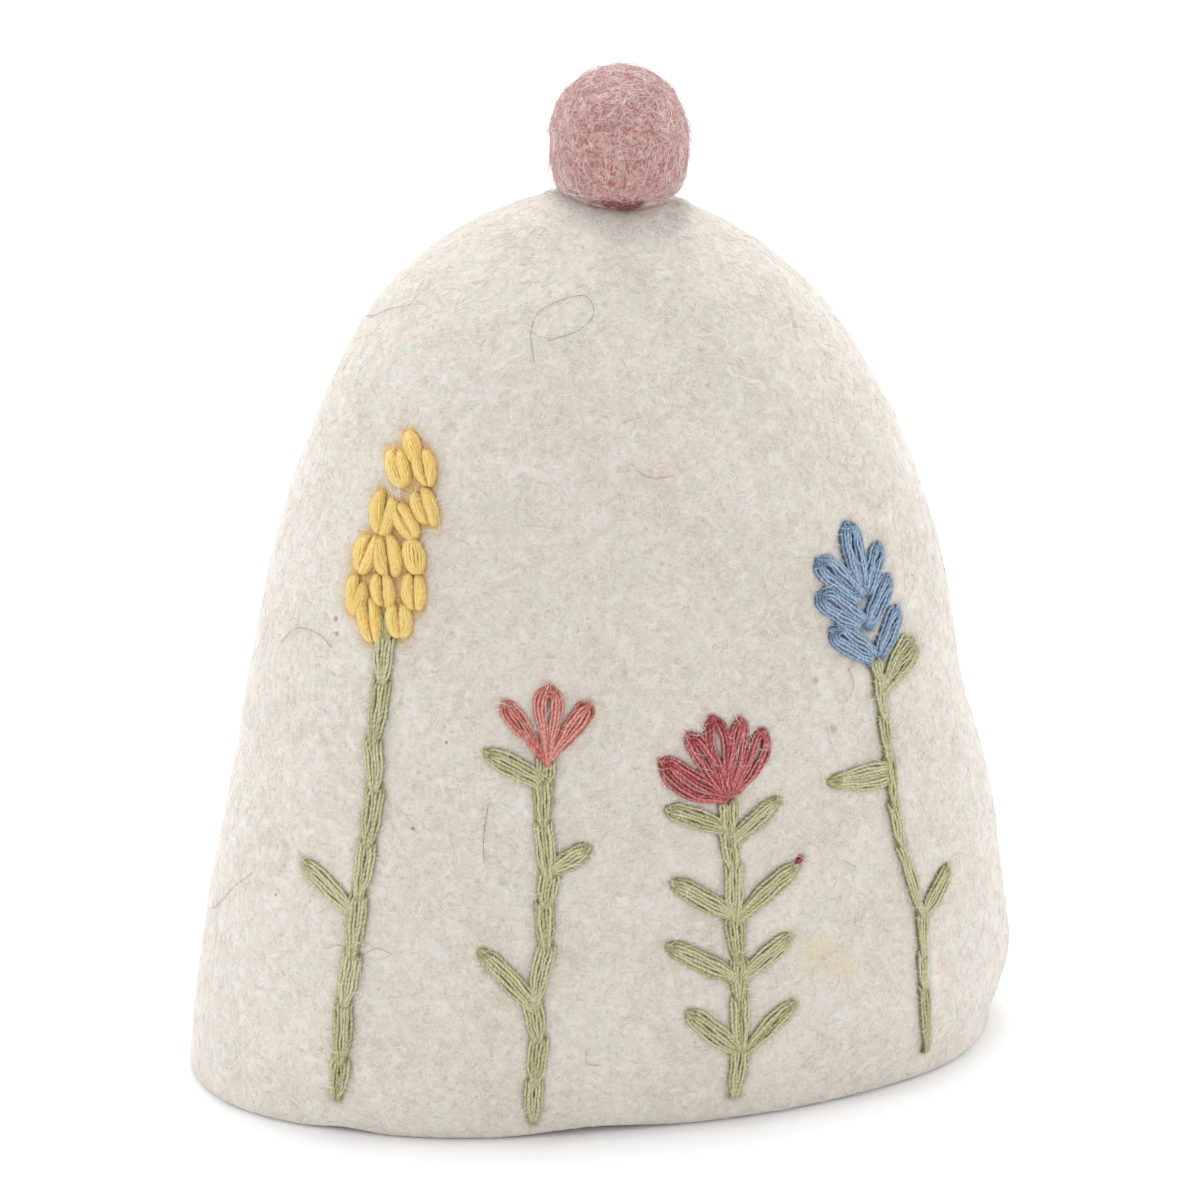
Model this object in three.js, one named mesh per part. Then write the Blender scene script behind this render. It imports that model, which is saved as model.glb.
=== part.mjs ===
// An egg cosy of wet-felted wool with a felt ball sewn to its top.
//
// Wet felting a hollow form makes it in one piece, with no seam: a bell-shaped bag, open along its hem,
// with walls about 3 mm thick. It stands on that hem with its mouth pulled open to an oval. The two sides
// where the bag would lie folded are at the ends of the X axis, its embroidered front faces -Y, and the
// ball sits a little to the right of the middle of the crown.
//
// Frame: millimetres, +Z up, origin on the surface it stands on, under the middle of the whole part.
// The embroidery is thread laid on the felt and isn't part of these solids.

import * as THREE from "three";

// --- Sizes of the felt bag ---------------------------------------------------------------------------
const FELT = 3.0; // thickness of the wall
const CROWN = 96.2; // height of the crown, outside
const HALF_WIDTH = { left: 46.2, right: 49.0 }; // at the table, if the hem weren't drawn in
const HALF_DEPTH = 25.4;
const FLANK_SLOPE = 0.2; // how far each end leans in for each mm up
const FACE_SLOPE = 0.09; // and how far the front and the back do
const SHOULDER_START = { left: 7.7, right: 6.4 }; // a higher power keeps the flank straight for longer
const SHOULDER_SQUARE = { left: 2.0, right: 1.8 }; // and a lower one rounds the shoulder more fully
const FACE_SHOULDER_START = 5.5;
const FACE_SHOULDER_SQUARE = 2.0;
const OVAL_POWER = 2.16; // the plan is nearly an ellipse, a little squarer
const HEM_TUCK = { left: 0.03, right: 0.09 }; // the share by which the hem draws in
const HEM_TUCK_HEIGHT = 6.0;
const HEM_ROUND = 1.2; // the felt's edge is soft and round
const HEM_FLAT_FROM = 0.8; // the flat of the hem starts this far in from each face
const BAG_AXIS_X = -0.9; // the right end reaches further from the bag's axis than the left one

// Where the hem doesn't touch the table: the angle in plan, counted from +X, how far it lifts, and how
// wide the lifted stretch is.
const HEM_LIFTS = [
  { angle: 264, lift: 0.6, spread: 13 },
  { angle: 227, lift: 0.4, spread: 9 },
  { angle: 74, lift: 0.5, spread: 15 },
];
const HEM_LIFT_HEIGHT = 10.0; // the wall above has taken a lift up by this height

// Slow swells of the hand-felted wall: height of the swell, waves round the bag, waves up it, and phase.
const SWELLS = [
  { rise: 0.2, around: 2, up: 3.1, phase: 2.8 },
  { rise: 0.15, around: 5, up: 2.2, phase: 5.2 },
  { rise: 0.1, around: 9, up: 4.3, phase: 0.6 },
];
const SWELL_FADES_BELOW_CROWN = 12.0;

// --- Sizes of the ball -------------------------------------------------------------------------------
const BALL_RADIUS = 7.5;
const BALL_AT = { x: 2.5, y: 0.0, z: 101.6 }; // its middle, with x and y from the bag's axis
const BALL_FOOT_POWER = 3.0; // its stitches squash the lower half wide
const SEAT_GAP = 0.3;

// --- Fineness of the faceted solids ------------------------------------------------------------------
const AROUND_BAG = 56;
const RINGS_UP_WALL = 20;
const AROUND_BALL = 30;
const RINGS_OVER_BALL = 16;

const COLOURS = { wool: 0xe3ddd2, rose: 0xc9989a };

const mix = (a, b, share) => a + (b - a) * share;

// 0 on the left side of the bag, 1 on the right, and smooth between them.
function rightShare(angle) {
  return THREE.MathUtils.smoothstep(Math.cos(angle), -1, 1);
}

// A power that keeps the sign of its base, for superellipses.
function signedPower(value, power) {
  return Math.sign(value) * Math.abs(value) ** power;
}

// How far the wall stands out of its plain form at this angle and height.
function swell(angle, height) {
  const fade = THREE.MathUtils.smoothstep(CROWN - height, 0, SWELL_FADES_BELOW_CROWN);
  const turnsUp = (2 * Math.PI * height) / CROWN;
  return SWELLS.reduce(
    (sum, s) => sum + fade * s.rise * Math.sin(s.around * angle + s.up * turnsUp + s.phase),
    0,
  );
}

// A point of the bag's outer face, or of a face `inset` mm inside it. `angle` runs round the plan from +X,
// and `height` is measured from the table.
function wallPoint(angle, height, inset = 0) {
  const right = rightShare(angle);
  const level = Math.min(height / (CROWN - inset), 1);
  const grow = swell(angle, height) - inset;
  const tuck = Math.exp(-((height / HEM_TUCK_HEIGHT) ** 2));
  const side = (mix(HALF_WIDTH.left, HALF_WIDTH.right, right) - FLANK_SLOPE * height)
    * (1 - tuck * mix(HEM_TUCK.left, HEM_TUCK.right, right)) + grow;
  const face = (HALF_DEPTH - FACE_SLOPE * height)
    * (1 - tuck * mix(HEM_TUCK.left, HEM_TUCK.right, 0.5)) + grow;
  const sideShoulder = (1 - level ** mix(SHOULDER_START.left, SHOULDER_START.right, right))
    ** (1 / mix(SHOULDER_SQUARE.left, SHOULDER_SQUARE.right, right));
  const faceShoulder = (1 - level ** FACE_SHOULDER_START) ** (1 / FACE_SHOULDER_SQUARE);
  return new THREE.Vector3(
    side * sideShoulder * signedPower(Math.cos(angle), 2 / OVAL_POWER),
    face * faceShoulder * signedPower(Math.sin(angle), 2 / OVAL_POWER),
    height,
  );
}

// How far the hem is lifted off the table at this angle.
function hemLift(angle) {
  const turn = THREE.MathUtils.euclideanModulo(THREE.MathUtils.radToDeg(angle), 360);
  return HEM_LIFTS.reduce((lift, h) => {
    const away = Math.abs(turn - h.angle) / h.spread;
    return away < 1 ? Math.max(lift, h.lift * Math.cos((away * Math.PI) / 2) ** 2) : lift;
  }, 0);
}

// A closed body from rings of points that all have the same count, between a first and a last point. The
// rings run anticlockwise as seen from the side that the body's first point is on.
function closedLoft(first, rings, last) {
  const around = rings[0].length;
  const points = [first, ...rings.flat(), last];
  const faces = [];
  const at = (ring, i) => 1 + ring * around + (i % around);
  for (let i = 0; i < around; i += 1) {
    faces.push(0, at(0, i), at(0, i + 1));
    for (let ring = 0; ring + 1 < rings.length; ring += 1) {
      faces.push(at(ring, i), at(ring + 1, i), at(ring + 1, i + 1));
      faces.push(at(ring, i), at(ring + 1, i + 1), at(ring, i + 1));
    }
    faces.push(at(rings.length - 1, i), points.length - 1, at(rings.length - 1, i + 1));
  }
  const geometry = new THREE.BufferGeometry().setFromPoints(points);
  geometry.setIndex(faces);
  geometry.computeVertexNormals();
  return geometry;
}

// Heights of the wall's rings, from the top of the hem's round to just under the crown. They crowd
// together at the hem, which draws in, and at the crown, where the wall turns over.
function ringHeights(crown) {
  return Array.from({ length: RINGS_UP_WALL }, (_, i) =>
    mix(2 * HEM_ROUND, crown, (1 - Math.cos((Math.PI * i) / RINGS_UP_WALL)) / 2),
  );
}

// The felt bag: down its outer face from the crown, round the hem, and up its inner face.
function feltBag() {
  const angles = Array.from({ length: AROUND_BAG }, (_, i) => (2 * Math.PI * i) / AROUND_BAG);
  const ring = (height, inset) => {
    const nearHem = THREE.MathUtils.smoothstep(HEM_LIFT_HEIGHT - height, 0, HEM_LIFT_HEIGHT);
    return angles.map((angle) => {
      const point = wallPoint(angle, height, inset);
      return point.setZ(point.z + nearHem * hemLift(angle));
    });
  };
  const outer = ringHeights(CROWN).reverse().map((height) => ring(height, 0));
  const hem = [
    ring(HEM_ROUND * 0.4, HEM_FLAT_FROM * 0.3),
    ring(0, HEM_FLAT_FROM),
    ring(0, FELT - HEM_FLAT_FROM),
    ring(HEM_ROUND * 0.4, FELT - HEM_FLAT_FROM * 0.3),
  ];
  const inner = ringHeights(CROWN - FELT).map((height) => ring(height, FELT));
  const top = new THREE.Vector3(0, 0, CROWN);
  const ceiling = new THREE.Vector3(0, 0, CROWN - FELT);
  return closedLoft(top, [...outer, ...hem, ...inner], ceiling);
}

// The height of the bag's outer face over a point of the plan, found by halving: the wall's plan shrinks
// as it rises, so the point is inside it up to that height.
function crownHeight(x, y) {
  let low = CROWN / 2;
  let high = CROWN;
  for (let step = 0; step < 40; step += 1) {
    const middle = (low + high) / 2;
    const end = wallPoint(x < 0 ? Math.PI : 0, middle).x;
    const back = wallPoint(Math.PI / 2, middle).y;
    const inside = Math.abs(x / end) ** OVAL_POWER + Math.abs(y / back) ** OVAL_POWER < 1;
    if (inside) low = middle;
    else high = middle;
  }
  return low;
}

// The ball: half a sphere over a squashed lower half, whose underside follows the crown with a small gap.
function feltBall() {
  const rings = [];
  for (let i = 1; i < RINGS_OVER_BALL; i += 1) {
    const down = (Math.PI * i) / RINGS_OVER_BALL;
    const lower = down > Math.PI / 2;
    const power = lower ? 2 / BALL_FOOT_POWER : 1;
    const radius = BALL_RADIUS * signedPower(Math.sin(down), power);
    const rise = BALL_RADIUS * signedPower(Math.cos(down), power);
    rings.push(
      Array.from({ length: AROUND_BALL }, (_, j) => {
        const angle = (2 * Math.PI * j) / AROUND_BALL;
        const x = BALL_AT.x + radius * Math.cos(angle);
        const y = BALL_AT.y + radius * Math.sin(angle);
        return new THREE.Vector3(x, y, Math.max(BALL_AT.z + rise, crownHeight(x, y) + SEAT_GAP));
      }),
    );
  }
  const top = new THREE.Vector3(BALL_AT.x, BALL_AT.y, BALL_AT.z + BALL_RADIUS);
  const seat = new THREE.Vector3(BALL_AT.x, BALL_AT.y, crownHeight(BALL_AT.x, BALL_AT.y) + SEAT_GAP);
  return closedLoft(top, rings, seat);
}

function piece(name, geometry, color) {
  const material = new THREE.MeshStandardMaterial({ color, roughness: 0.95, metalness: 0 });
  const mesh = new THREE.Mesh(geometry, material);
  mesh.name = name;
  mesh.position.x = BAG_AXIS_X;
  return mesh;
}

const cosy = new THREE.Group();
cosy.add(piece("felt_bag", feltBag(), COLOURS.wool), piece("felt_ball", feltBall(), COLOURS.rose));

export default cosy;
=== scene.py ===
import math

import bpy
import numpy as np
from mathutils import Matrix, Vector


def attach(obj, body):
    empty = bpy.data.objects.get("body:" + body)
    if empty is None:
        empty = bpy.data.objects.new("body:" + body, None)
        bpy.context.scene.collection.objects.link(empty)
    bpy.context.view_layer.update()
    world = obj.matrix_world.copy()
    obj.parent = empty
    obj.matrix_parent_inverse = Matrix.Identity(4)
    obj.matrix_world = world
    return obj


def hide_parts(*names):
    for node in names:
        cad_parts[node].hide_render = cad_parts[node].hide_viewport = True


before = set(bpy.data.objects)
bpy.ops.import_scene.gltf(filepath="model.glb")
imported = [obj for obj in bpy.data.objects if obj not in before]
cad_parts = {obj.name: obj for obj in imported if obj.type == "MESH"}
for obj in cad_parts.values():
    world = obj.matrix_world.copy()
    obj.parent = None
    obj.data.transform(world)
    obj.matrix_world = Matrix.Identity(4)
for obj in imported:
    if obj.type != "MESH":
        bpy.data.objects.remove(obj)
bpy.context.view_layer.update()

MM = 0.001  # sizes below are in millimetres, and the scene's unit is a metre


# --- The view ----------------------------------------------------------------------------------------
# The cosy is seen from the front, a little from its left and from above, through a long lens that keeps
# its two flanks nearly parallel.

AIM = Vector((-0.4, 0.0, 51.3)) * MM
EYE_DISTANCE = 449.0
EYE_AZIMUTH = -11.97
EYE_ELEVATION = 19.6
LENS = 126.2


def towards(azimuth, elevation):
    """Unit vector to a place at this azimuth, 0 for -Y and 90 for +X, and this elevation, in degrees."""
    turn = math.radians(azimuth)
    climb = math.radians(elevation)
    flat = math.cos(climb)
    return Vector((math.sin(turn) * flat, -math.cos(turn) * flat, math.sin(climb)))


def face_aim(thing, azimuth, elevation, distance):
    """Stands a lamp or camera this many millimetres from the aim and turns its -Z axis to the aim."""
    away = towards(azimuth, elevation)
    thing.location = AIM + away * distance * MM
    thing.rotation_euler = (-away).to_track_quat("-Z", "Y").to_euler()
    bpy.context.scene.collection.objects.link(thing)


camera = bpy.data.objects.new("camera", bpy.data.cameras.new("camera"))
camera.data.lens = LENS
camera.data.clip_start = 0.01
face_aim(camera, EYE_AZIMUTH, EYE_ELEVATION, EYE_DISTANCE)
bpy.context.scene.camera = camera


# --- The studio --------------------------------------------------------------------------------------
# A plain white table and white surroundings, with a broad soft lamp at each side and one overhead, all a
# little behind the cosy, so its flanks are lighter than its front and its shadow falls towards the eye.

FLOOR_HALF = 1500.0
FLOOR_WHITE = 0.93
ROOM_STRENGTH = 0.84
# azimuth, elevation, distance, side of the square lamp, watts, colour
LAMPS = {
    "lamp_left": (-95.0, 25.0, 900.0, 700.0, 2.4, (0.95, 0.98, 1.03)),
    "lamp_right": (98.0, 25.0, 900.0, 700.0, 2.9, (0.975, 0.99, 1.02)),
    "lamp_overhead": (180.0, 80.0, 1000.0, 500.0, 3.8, (1.0, 1.0, 1.0)),
}

room = bpy.data.worlds.new("room")
room.use_nodes = True
room.node_tree.nodes["Background"].inputs["Color"].default_value = (1.0, 1.0, 1.0, 1.0)
room.node_tree.nodes["Background"].inputs["Strength"].default_value = ROOM_STRENGTH
bpy.context.scene.world = room
bpy.context.scene.view_settings.view_transform = "Standard"

for name, (azimuth, elevation, distance, side, watts, hue) in LAMPS.items():
    lamp = bpy.data.objects.new(name, bpy.data.lights.new(name, "AREA"))
    lamp.data.shape = "SQUARE"
    lamp.data.size = side * MM
    lamp.data.energy = watts
    lamp.data.color = hue
    face_aim(lamp, azimuth, elevation, distance)

corners = np.array([(-1, -1, 0), (1, -1, 0), (1, 1, 0), (-1, 1, 0)]) * FLOOR_HALF * MM
floor_mesh = bpy.data.meshes.new("floor")
floor_mesh.from_pydata(corners.tolist(), [], [(0, 1, 2, 3)])
floor = bpy.data.objects.new("floor", floor_mesh)
bpy.context.scene.collection.objects.link(floor)

floor_white = bpy.data.materials.new("table_white")
floor_white.use_nodes = True
floor_shader = floor_white.node_tree.nodes["Principled BSDF"].inputs
floor_shader["Base Color"].default_value = (FLOOR_WHITE, FLOOR_WHITE, FLOOR_WHITE, 1.0)
floor_shader["Roughness"].default_value = 1.0
floor_shader["Specular IOR Level"].default_value = 0.0
floor_mesh.materials.append(floor_white)


# --- The felt bag ------------------------------------------------------------------------------------
# One hollow bell of cream sheep's wool, felted wet over a flat form, so it has no seam and its wall is
# 3 mm of matted fibre. It stands on its hem, pulled open to an oval, and nothing fixes it.

FELT = 3.0
CROWN = 96.2
HALF_WIDTH = (46.2, 49.0)  # left and right, at the table, if the hem weren't drawn in
HALF_DEPTH = 25.4
FLANK_SLOPE = 0.2
FACE_SLOPE = 0.09
SHOULDER_START = (7.7, 6.4)
SHOULDER_SQUARE = (2.0, 1.8)
FACE_SHOULDER_START = 5.5
FACE_SHOULDER_SQUARE = 2.0
OVAL_POWER = 2.16
HEM_TUCK = (0.03, 0.09)
HEM_TUCK_HEIGHT = 6.0
BAG_AXIS_X = -0.9
HEM_LIFTS = ((264, 0.6, 13), (227, 0.4, 9), (74, 0.5, 15))  # angle in plan, lift, spread to each side
HEM_LIFT_HEIGHT = 10.0
SWELLS = ((0.2, 2, 3.1, 2.8), (0.15, 5, 2.2, 5.2), (0.1, 9, 4.3, 0.6))  # rise, waves round, up, phase
SWELL_FADES_BELOW_CROWN = 12.0

HEM_ROUND = 1.6  # height of the hem's round edge
HEM_POWER = 0.75  # how full its section is, where 1 is an ellipse
HEM_RINGS = 11
FRONT_STEP = 0.5  # columns of the mesh are this far apart on the embroidered face
BACK_STEP = 1.0
ROW_STEP = 0.52
INNER_ROWS = 34
HALVINGS = 30  # how often a search by halving halves
LUMP_CELLS = 32  # the lumps repeat after this many
# height, size and seed of each set of lumps
FELT_RELIEF = ((0.14, 5.5, 1), (0.08, 2.6, 2), (0.04, 1.2, 3))
RELIEF_FULL_AT = 3.0  # the lumps fade out below this height, so the hem stands flat


def smooth(value, low, high):
    """0 below low and 1 above high, and between them 3s² - 2s³ of the share s that is passed."""
    share = np.clip((value - low) / (high - low), 0.0, 1.0)
    return share * share * (3.0 - 2.0 * share)


def signed_power(value, power):
    """The value's size to this power, with the value's sign, for superellipses."""
    return np.sign(value) * np.abs(value) ** power


def swell(turn, height):
    """Slow waves of the hand-felted wall: a sum of sines round and up it, fading out at the crown."""
    fade = smooth(CROWN - height, 0.0, SWELL_FADES_BELOW_CROWN)
    rounds = 2.0 * np.pi * height / CROWN
    return fade * sum(rise * np.sin(n * turn + up * rounds + phase) for rise, n, up, phase in SWELLS)


def hem_lift(turn):
    """How far the hem stands off the table at each angle: the highest of three cos² waves."""
    degrees = np.degrees(turn) % 360.0
    lift = np.zeros_like(degrees)
    for angle, rise, spread in HEM_LIFTS:
        away = np.clip(np.abs(degrees - angle) / spread, 0.0, 1.0)
        lift = np.maximum(lift, rise * np.cos(away * np.pi / 2.0) ** 2)
    return lift


def wall(turn, height, inset=0.0):
    """Points of the bag's wall, `inset` inside its outer face. In plan a superellipse of power 2.16,
    whose half-width and half-depth lean in with height, draw in at the hem by exp(-(h/6)²), and round
    over at the shoulder by (1 - level^p)^(1/q), with p and q blended from the left side to the right."""
    turn, height, inset = np.broadcast_arrays(turn, height, inset)
    cosine, sine = np.cos(turn), np.sin(turn)
    right = smooth(cosine, -1.0, 1.0)

    def sided(pair):
        return pair[0] + (pair[1] - pair[0]) * right

    level = np.clip(height / (CROWN - inset), 0.0, 1.0)
    grow = swell(turn, height) - inset
    tuck = np.exp(-((height / HEM_TUCK_HEIGHT) ** 2))
    side = (sided(HALF_WIDTH) - FLANK_SLOPE * height) * (1.0 - tuck * sided(HEM_TUCK)) + grow
    face = (HALF_DEPTH - FACE_SLOPE * height) * (1.0 - tuck * sum(HEM_TUCK) / 2.0) + grow
    side = side * (1.0 - level ** sided(SHOULDER_START)) ** (1.0 / sided(SHOULDER_SQUARE))
    face = face * (1.0 - level**FACE_SHOULDER_START) ** (1.0 / FACE_SHOULDER_SQUARE)
    lifted = height + hem_lift(turn) * smooth(HEM_LIFT_HEIGHT - height, 0.0, HEM_LIFT_HEIGHT)
    x = BAG_AXIS_X + side * signed_power(cosine, 2.0 / OVAL_POWER)
    y = face * signed_power(sine, 2.0 / OVAL_POWER)
    return np.stack([x, y, lifted], axis=-1)


def length(vectors):
    """The length of each vector."""
    return np.linalg.norm(vectors, axis=-1)


def unit(vectors):
    """Each vector divided by its length."""
    return vectors / np.maximum(length(vectors), 1e-9)[..., None]


# Heights by the distance up the wall, measured over the felt: the mean of the way up a flank and the way
# up the face, because the one has further to go over the shoulder than the other.
HEIGHTS = CROWN * np.sin(np.linspace(0.0, np.pi / 2.0, 6001))
flank_way = length(np.diff(wall(0.0, HEIGHTS), axis=0))
face_way = length(np.diff(wall(1.5 * np.pi, HEIGHTS), axis=0))
RUNS = np.concatenate([[0.0], np.cumsum((flank_way + face_way) / 2.0)])
FULL_RUN = RUNS[-1]


def lumps(points, size, seed):
    """Noise from -1 to 1: random numbers at the corners of cubes of this size, and inside a cube the
    smooth blend of its eight corners."""
    corner_values = np.random.default_rng(seed).uniform(-1.0, 1.0, (LUMP_CELLS, LUMP_CELLS, LUMP_CELLS))
    cell = points / size
    low = np.floor(cell).astype(int)
    share = smooth(cell - low, 0.0, 1.0)
    total = np.zeros(points.shape[:-1])
    for corner in np.ndindex(2, 2, 2):
        weight = np.prod(np.where(corner, share, 1.0 - share), axis=-1)
        i, j, k = np.moveaxis((low + corner) % LUMP_CELLS, -1, 0)
        total += weight * corner_values[i, j, k]
    return total


def relief(points, layers):
    """Sum of several sets of lumps, each with its height, size and seed."""
    return sum(height * lumps(points, size, seed) for height, size, seed in layers)


def skin(turn, run, lift=0.0):
    """Points on the felt's outer face, and the way out of it there: the plain wall, `run` mm up it, moved
    along its normal by the felt's lumps and by `lift`. The normal is the cross product of the steps
    round and up the wall."""
    nudge_turn, nudge_run = 1e-3, 0.05
    run = np.clip(run, 0.0, FULL_RUN - 2.0 * nudge_run)
    here = wall(turn, np.interp(run, RUNS, HEIGHTS))
    round_it = wall(turn + nudge_turn, np.interp(run, RUNS, HEIGHTS)) - here
    up_it = wall(turn, np.interp(run + nudge_run, RUNS, HEIGHTS)) - here
    out = unit(np.cross(round_it, up_it))
    height = relief(here, FELT_RELIEF) * smooth(here[..., 2], 0.0, RELIEF_FULL_AT) + lift
    return here + out * height[..., None], out


def closed_rings(rings, first, last):
    """Vertices and faces of a closed skin: quads between each ring of points and the next, and a fan of
    triangles to a single point at each end. Rings run anticlockwise seen from the first point."""
    count, around = rings.shape[:2]
    points = np.concatenate([[first], rings.reshape(-1, 3), [last]])
    start = 1 + np.arange(count - 1)[:, None] * around + np.arange(around)
    after = 1 + np.arange(count - 1)[:, None] * around + (np.arange(around) + 1) % around
    quads = np.stack([start, start + around, after + around, after], axis=-1).reshape(-1, 4)
    here, then = np.arange(around), (np.arange(around) + 1) % around
    foot = 1 + (count - 1) * around
    top_fan = np.stack([np.zeros(around, int), 1 + here, 1 + then], axis=-1)
    foot_fan = np.stack([np.full(around, len(points) - 1), foot + then, foot + here], axis=-1)
    return points, quads.tolist() + top_fan.tolist() + foot_fan.tolist()


def new_piece(name, points, faces, finish, slot, values=None, flat_from=None):
    """A mesh object from points in millimetres, with a float attribute for each named value. It is shaded
    smooth, except for the faces from number `flat_from` on."""
    mesh = bpy.data.meshes.new(name)
    mesh.from_pydata((points * MM).tolist(), [], faces)
    mesh.shade_smooth()
    if flat_from is not None:
        mesh.polygons.foreach_set("use_smooth", np.arange(len(faces)) < flat_from)
    for key, data in (values or {}).items():
        mesh.attributes.new(key, "FLOAT", "POINT").data.foreach_set("value", data.astype(np.float32))
    mesh.materials.append(finish)
    piece = bpy.data.objects.new(name, mesh)
    bpy.context.scene.collection.objects.link(piece)
    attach(piece, "root")
    return piece


def bag_columns():
    """Angles of the mesh's columns: even steps along the plan at mid height, closer on the face that
    carries the embroidery."""
    fine = np.linspace(0.0, 2.0 * np.pi, 8001)
    steps = length(np.diff(wall(fine, CROWN * 0.45), axis=0))
    middle = (fine[1:] + fine[:-1]) / 2.0
    facing = smooth(-np.sin(middle), -0.25, 0.1)
    crowd = np.concatenate([[0.0], np.cumsum(steps / (BACK_STEP + (FRONT_STEP - BACK_STEP) * facing))])
    count = int(crowd[-1])
    return np.interp(np.arange(count) / count * crowd[-1], crowd, fine)


def bag_rings():
    """Rings down the outer face, round the hem and up the inner face. The hem's section is half a
    superellipse, FELT wide and HEM_ROUND high."""
    turns = bag_columns()[None, :]
    hem_run = np.interp(HEM_ROUND, HEIGHTS, RUNS)
    rows = int((FULL_RUN - hem_run) / ROW_STEP)
    outer_runs = np.linspace(FULL_RUN, hem_run, rows + 1)[1:, None]
    outer, _ = skin(turns, outer_runs)
    bend = np.linspace(0.0, np.pi, HEM_RINGS + 2)[1:-1, None]
    inset = FELT / 2.0 * (1.0 - signed_power(np.cos(bend), HEM_POWER))
    hem = wall(turns, HEM_ROUND * (1.0 - np.sin(bend) ** HEM_POWER), inset)
    tilt = np.linspace(0.0, np.pi / 2.0, INNER_ROWS + 1)[:-1, None]
    inner = wall(turns, HEM_ROUND + (CROWN - FELT - HEM_ROUND) * np.sin(tilt), FELT)
    return np.concatenate([outer, hem, inner])


class Wire:
    """A value in a material. It wraps a socket, and arithmetic on it adds the Math nodes that do it."""

    def __init__(self, paint, socket):
        self.paint = paint
        self.socket = socket

    def math(self, operation, *values):
        """A Math node with these inputs."""
        return self.paint.node("ShaderNodeMath", {"operation": operation}, dict(enumerate(values)))

    def __add__(self, other):
        return self.math("ADD", self, other)

    def __sub__(self, other):
        return self.math("SUBTRACT", self, other)

    def __rsub__(self, other):
        return self.math("SUBTRACT", other, self)

    def __mul__(self, other):
        return self.math("MULTIPLY", self, other)

    def __truediv__(self, other):
        return self.math("DIVIDE", self, other)

    def __abs__(self):
        return self.math("ABSOLUTE", self)


HAIR_LINE = 0.3  # how wide a fine line is, as a share of the way to the next


class Paint:
    """A material with one Principled shader, and the nodes that feed it."""

    def __init__(self, name, **even):
        self.material = bpy.data.materials.new(name)
        self.material.use_nodes = True
        self.tree = self.material.node_tree
        self.shader = self.tree.nodes["Principled BSDF"]
        for socket, value in even.items():
            self.shader.inputs[socket.replace("_", " ")].default_value = value
        place = self.node("ShaderNodeTexCoord", {}, {}, "Object")
        self.place = self.vector("SCALE", place, Scale=1.0 / MM)

    def node(self, kind, settings, values, output=0):
        """A node of this type: its settings are set first, then each input's value or link."""
        made = self.tree.nodes.new(kind)
        for key, value in settings.items():
            setattr(made, key, value)
        for key, value in values.items():
            socket = made.inputs[key]
            if isinstance(value, Wire):
                self.tree.links.new(value.socket, socket)
            else:
                socket.default_value = value
        return Wire(self, made.outputs[output])

    def vector(self, operation, *vectors, output=0, **values):
        """A Vector Math node."""
        inputs = {**dict(enumerate(vectors)), **values}
        return self.node("ShaderNodeVectorMath", {"operation": operation}, inputs, output)

    def noise(self, size, detail, place=None, shift=0.0, output="Fac", **more):
        """Noise whose largest lumps are about this many millimetres across, from 0 to 1."""
        place = self.vector("ADD", place or self.place, (shift, shift * 0.7, -shift))
        values = {"Vector": place, "Scale": 1.0 / size, "Detail": detail, **more}
        return self.node("ShaderNodeTexNoise", {}, values, output)

    def step(self, value, low, high):
        """The value's smooth step from 0 at low to 1 at high."""
        values = {"Value": value, "From Min": low, "From Max": high}
        return self.node("ShaderNodeMapRange", {"interpolation_type": "SMOOTHSTEP"}, values)

    def mix(self, share, first, second):
        """A blend of two colours."""
        return self.node("ShaderNodeMix", {"data_type": "RGBA"}, {0: share, 6: first, 7: second}, 2)

    def attribute(self, name, output="Fac"):
        """A value that each point of the mesh carries."""
        return self.node("ShaderNodeAttribute", {"attribute_name": name}, {}, output)

    def spot(self, centre, inside, outside):
        """1 within `inside` mm of a point of the piece, falling to 0 at `outside` mm."""
        away = self.vector("DISTANCE", self.place, tuple(float(c) for c in centre), output="Value")
        return self.step(away, outside, inside)

    def height(self):
        """How many millimetres a place is over the table."""
        return self.node("ShaderNodeSeparateXYZ", {}, {0: self.place}, "Z")

    def bundle(self, size, shift, levels, share):
        """Bundles of fine curling lines: where a noise of this size passes any of several even levels.
        The place is stirred first, so the lines wander, and a coarser noise breaks them into lengths."""
        stir = self.noise(size * 0.7, 1.0, shift=shift, output="Color")
        stir = self.vector("SCALE", self.vector("SUBTRACT", stir, (0.5, 0.5, 0.5)), Scale=size * 1.1)
        level = self.noise(size, 0.0, place=self.vector("ADD", self.place, stir), shift=shift + 31.0)
        level = level.math("FRACT", level * levels)
        line = 1.0 - self.step(abs(level - 0.5), 0.0, HAIR_LINE)
        return line * self.step(self.noise(size * 0.8, 0.0, shift=shift + 57.0), 0.42, 0.58) * share

    def hairs(self, layers):
        """Layers of bundles over each other, the palest on top. Each has a size, a shift of its own, how
        many levels it has, and its share of the tone."""
        drawn = self.bundle(*layers[0])
        for layer in layers[1:]:
            drawn = drawn.math("MAXIMUM", drawn, self.bundle(*layer))
        return drawn

    def finish(self, color, height, strength):
        """Joins the colour, and a bump whose height is in millimetres, to the shader."""
        self.tree.links.new(color.socket, self.shader.inputs["Base Color"])
        values = {"Height": height, "Distance": MM, "Strength": strength}
        bump = self.node("ShaderNodeBump", {}, values)
        self.tree.links.new(bump.socket, self.shader.inputs["Normal"])
        return self.material


def tint(red, green, blue):
    """A colour given as it looks on a screen, from 0 to 255, as the linear values of a material."""
    share = np.array([red, green, blue]) / 255.0
    linear = np.where(share <= 0.04045, share / 12.92, ((share + 0.055) / 1.055) ** 2.4)
    return (*linear.tolist(), 1.0)


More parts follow.
